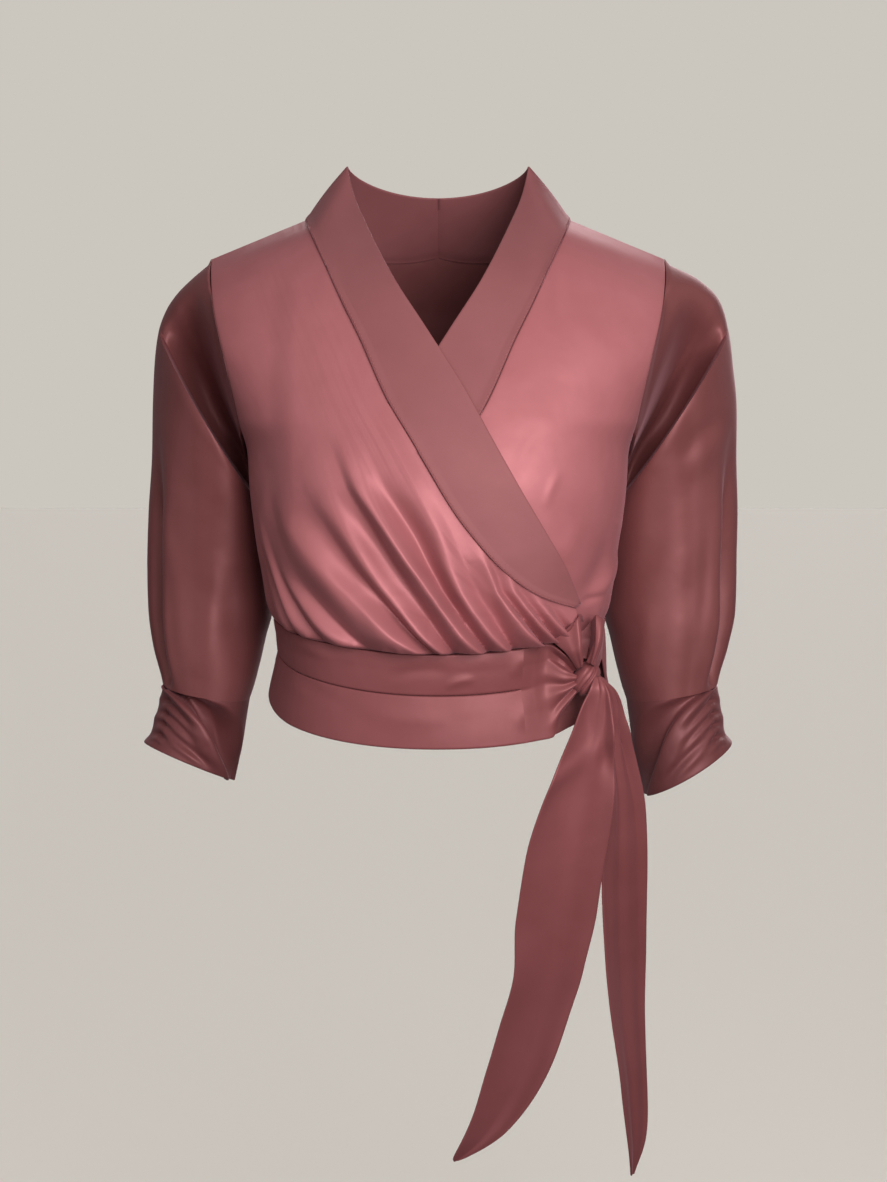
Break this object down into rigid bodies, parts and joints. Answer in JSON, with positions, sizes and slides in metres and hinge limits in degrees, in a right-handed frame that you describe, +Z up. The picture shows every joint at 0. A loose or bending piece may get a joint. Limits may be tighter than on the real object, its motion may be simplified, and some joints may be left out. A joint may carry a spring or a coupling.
{
  "type": "wrap crop top",
  "caption": "Satin wrap crop top with a band collar, three-quarter sleeves, gathered front and a waistband sash tied at the side, in its worn shape.",
  "frame": {"origin": "midway between the two points where the collar crosses the shoulder seams, which is where the wearer's shoulders hold the top up", "axes": "+Z is up, -Y is the front of the wearer, and +X is the wearer's left, where the sash is tied"},
  "size_m": [0.5251, 0.2475, 0.8553],
  "materials": {
    "satin": "dusty rose satin with a soft sheen",
    "collar_satin": "the same satin, its duller side out, folded double over interfacing"
  },
  "bodies": {
    "root": {"front_right": "satin", "front_left": "satin", "back": "satin", "collar_right": "collar_satin", "collar_left": "collar_satin", "waistband_upper": "satin", "waistband_lower": "satin", "waistband_under": "satin", "sleeve_right": "satin", "sleeve_left": "satin", "cuff_right": "satin", "cuff_left": "satin", "knot": "satin", "fan_front": "satin", "fan_back": "satin", "tie_front": "satin", "tie_back": "satin"}
  },
  "joints": []
}
